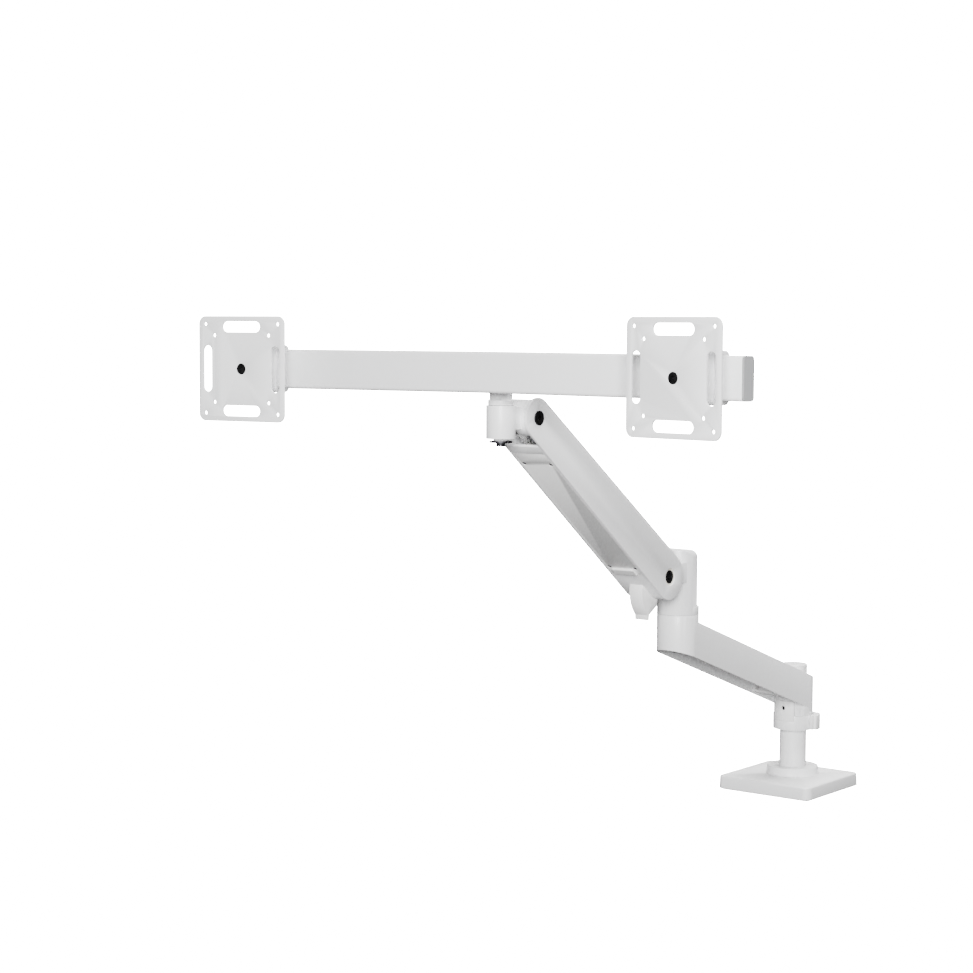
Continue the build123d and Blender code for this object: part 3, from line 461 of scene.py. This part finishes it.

# %% [markdown]
# ## The lift spring
# The spring sits inside the upper arm and shows only through the gaps at the two ends of the housing,
# but in the lowered pose it is plain to see. A coil is one small circle carried round an axis while it
# climbs, which is just what the Screw modifier does. The wire ends are then closed. As the arm goes
# down the draw rod pulls the far end in; this coil keeps its length and is carried with the upper arm.

# %% Wind the spring
pivot = Vector(joint("arm_lift")["pos_m"])
along_arm = Vector(joint("draw_rod_slide")["axis"])
arm_rise = math.asin(along_arm.z)
WIRE_R = 1.1 * MM
COIL_R = 5.35 * MM
COIL_TURNS = 42
SPRING_START = 70 * MM
SPRING_LENGTH = 145 * MM
SPRING_LINE = 11.25 * MM


def wind_spring():
    bpy.ops.object.select_all(action="DESELECT")
    bpy.ops.mesh.primitive_circle_add(
        vertices=10, radius=WIRE_R, location=(COIL_R, 0, 0), rotation=(math.radians(90), 0, 0))
    coil = bpy.context.object
    coil.name = "lift_spring"
    settle(coil)
    winding = coil.modifiers.new("winding", "SCREW")
    winding.axis = "Z"
    winding.iterations = COIL_TURNS
    winding.screw_offset = (SPRING_LENGTH - 4 * WIRE_R) / COIL_TURNS
    winding.steps = 26
    winding.render_steps = 26
    apply_modifiers(coil)
    bpy.ops.object.mode_set(mode="EDIT")
    bpy.ops.mesh.select_all(action="SELECT")
    bpy.ops.mesh.remove_doubles(threshold=1e-6)
    bpy.ops.mesh.fill_holes(sides=0)
    bpy.ops.mesh.select_all(action="SELECT")
    bpy.ops.mesh.normals_make_consistent(inside=False)
    bpy.ops.object.mode_set(mode="OBJECT")
    bpy.ops.object.shade_smooth_by_angle(angle=math.radians(50))
    upward = Vector((0, along_arm.z, -along_arm.y))
    start = pivot + along_arm * (SPRING_START + 2 * WIRE_R) + upward * SPRING_LINE
    coil.rotation_euler = (math.radians(90) - arm_rise, 0, 0)
    coil.location = start
    settle(coil)
    paint(coil, spring_wire)
    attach(coil, "upper_arm")
    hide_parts("spring")
    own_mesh(coil)
    return coil


spring = wind_spring()
print("spring faces:", len(spring.data.polygons))

# %% [markdown]
# ## The carriage knobs
# Each carriage is locked on the bar by a knob behind it. The knob starts as a short cylinder. Its face
# is inset and pressed in to a shallow dish, eight finger scallops are cut with a Boolean modifier, and
# one Bevel rounds the rim and softens what the cut left sharp.

# %% Model one knob
KNOB_R = 16 * MM
KNOB_H = 13 * MM
SHANK_R = 4 * MM
SHANK_L = 12.2 * MM
SCALLOP_R = 4.2 * MM
SCALLOP_OUT = KNOB_R + 2.2 * MM
SCALLOPS = 8
KNOB_AHEAD_OF_JOINT = 9.5 * MM


def model_knob(name):
    bpy.ops.object.select_all(action="DESELECT")
    bpy.ops.mesh.primitive_cylinder_add(vertices=96, radius=KNOB_R, depth=KNOB_H, location=(0, 0, KNOB_H / 2))
    knob = bpy.context.object
    knob.name = name
    settle(knob)
    select_faces(knob, lambda centre, normal: normal.z > 0.9)
    bpy.ops.mesh.inset(thickness=3.2 * MM, depth=0.0)
    bpy.ops.mesh.inset(thickness=1.2 * MM, depth=-1.1 * MM)
    bpy.ops.mesh.inset(thickness=5.5 * MM, depth=0.0)
    bpy.ops.mesh.inset(thickness=0.8 * MM, depth=0.6 * MM)
    bpy.ops.object.mode_set(mode="OBJECT")
    cutters = []
    for i in range(SCALLOPS):
        turn = 2 * math.pi * i / SCALLOPS
        place = (SCALLOP_OUT * math.cos(turn), SCALLOP_OUT * math.sin(turn), KNOB_H / 2)
        bpy.ops.object.select_all(action="DESELECT")
        bpy.ops.mesh.primitive_cylinder_add(vertices=32, radius=SCALLOP_R, depth=3 * KNOB_H, location=place)
        cutters.append(bpy.context.object)
        settle(bpy.context.object)
    for cutter in cutters:
        scallop = knob.modifiers.new("scallop", "BOOLEAN")
        scallop.operation = "DIFFERENCE"
        scallop.object = cutter
    apply_modifiers(knob)
    for cutter in cutters:
        bpy.data.objects.remove(cutter)
    bpy.ops.object.select_all(action="DESELECT")
    bpy.ops.mesh.primitive_cylinder_add(
        vertices=32, radius=SHANK_R, depth=SHANK_L, location=(0, 0, -SHANK_L / 2))
    shank = bpy.context.object
    settle(shank)
    pick(knob)
    fuse = knob.modifiers.new("fuse", "BOOLEAN")
    fuse.operation = "UNION"
    fuse.object = shank
    rounding = knob.modifiers.new("rounding", "BEVEL")
    rounding.width = 0.7 * MM
    rounding.segments = 3
    rounding.limit_method = "ANGLE"
    rounding.angle_limit = math.radians(40)
    apply_modifiers(knob)
    bpy.data.objects.remove(shank)
    pick(knob)
    bpy.ops.object.shade_smooth_by_angle(angle=math.radians(45))
    return knob


def place_knob(side):
    knob = model_knob(f"knob_{side}_scalloped")
    entry = joint(f"knob_turn_{side}")
    axis = Vector(entry["axis"]).normalized()
    knob.rotation_mode = "QUATERNION"
    knob.rotation_quaternion = Vector((0, 0, 1)).rotation_difference(axis)
    knob.location = Vector(entry["pos_m"]) - axis * KNOB_AHEAD_OF_JOINT
    settle(knob)
    paint(knob, grey_plastic)
    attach(knob, f"knob_{side}")
    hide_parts(f"clamp_knob_{side}")
    return knob


for side in ("right", "left"):
    knob = place_knob(side)
    print(knob.name, len(knob.data.polygons), "faces")

# %% [markdown]
# ## Floor, light and camera
# The arm is shown as in a catalogue: a pale floor that melts into a pale background, one strong soft
# light from the front right, a weak one from the left, one above and one behind. The floor and the sky
# glow only for the camera. They hardly light the arm, so its undersides stay darker than its sides.

# %% Floor and background
FLOOR_GLOW_ON_PART = 0.0
FLOOR_GLOW_SEEN = 40.0


def floor_finish():
    material, tree, shader = start_material("pale floor", 0.55)
    peel = place_group(tree, orange_peel, (-600, 0), Grain_per_metre=300.0, Patch_per_metre=1.5)
    two_tone(tree, peel.outputs["Sheen patches"], (0.035, 0.035, 0.035), (0.045, 0.045, 0.045),
             shader.inputs["Base Color"], (-300, 100))
    shader.inputs["Emission Color"].default_value = (1.0, 1.0, 1.0, 1.0)
    seen = add_node(tree, "ShaderNodeLightPath", (-600, -300))
    glow = add_node(tree, "ShaderNodeMapRange", (-300, -300))
    glow.inputs["To Min"].default_value = FLOOR_GLOW_ON_PART
    glow.inputs["To Max"].default_value = FLOOR_GLOW_SEEN
    tree.links.new(seen.outputs["Is Camera Ray"], glow.inputs["Value"])
    tree.links.new(glow.outputs["Result"], shader.inputs["Emission Strength"])
    return material


bpy.ops.object.select_all(action="DESELECT")
bpy.ops.mesh.primitive_plane_add(size=14.0, location=(0, 0, -0.0005))
floor = bpy.context.object
floor.name = "floor"
settle(floor)
paint(floor, floor_finish())

world = bpy.data.worlds.new("studio")
bpy.context.scene.world = world
world.use_nodes = True
sky = world.node_tree
background = sky.nodes["Background"]
background.inputs["Color"].default_value = (1.0, 1.0, 1.0, 1.0)
seen = add_node(sky, "ShaderNodeLightPath", (-600, 0))
level = add_node(sky, "ShaderNodeMapRange", (-300, 0))
level.inputs["To Min"].default_value = 0.07
level.inputs["To Max"].default_value = 40.0
sky.links.new(seen.outputs["Is Camera Ray"], level.inputs["Value"])
sky.links.new(level.outputs["Result"], background.inputs["Strength"])


# %% Lights
def soft_light(name, place, target, size, power):
    data = bpy.data.lights.new(name, "AREA")
    data.size = size
    data.energy = power
    lamp = bpy.data.objects.new(name, data)
    bpy.context.scene.collection.objects.link(lamp)
    lamp.location = place
    lamp.rotation_euler = (Vector(target) - Vector(place)).to_track_quat("-Z", "Y").to_euler()
    return lamp


middle = (Vector(cad_box[0]) + Vector(cad_box[1])) / 2
soft_light("key", (1.7, -3.0, 1.2), middle, 1.2, 275)
soft_light("fill", (-2.4, -1.2, 0.7), middle, 1.6, 8)
soft_light("top", (0.3, 0.4, 2.6), middle, 1.6, 150)
soft_light("back", (-1.4, 2.4, 1.3), middle, 1.4, 30)
print("lights placed")

# %% Camera
CAMERA_PLACE = (1.4517, -2.5476, 0.6057)
CAMERA_TURN = 37.63
CAMERA_DOWN = 4.15
CAMERA_ROLL = 0.25
CAMERA_LENS = 82.3

camera_data = bpy.data.cameras.new("camera")
camera_data.lens = CAMERA_LENS
camera_data.sensor_width = 36.0
camera = bpy.data.objects.new("camera", camera_data)
bpy.context.scene.collection.objects.link(camera)
camera.location = CAMERA_PLACE
camera.rotation_mode = "QUATERNION"
turn = Quaternion((0, 0, 1), math.radians(CAMERA_TURN))
lean = Quaternion((1, 0, 0), math.radians(90 - CAMERA_DOWN))
roll = Quaternion((0, 0, 1), math.radians(CAMERA_ROLL))
camera.rotation_quaternion = turn @ lean @ roll
bpy.context.scene.camera = camera
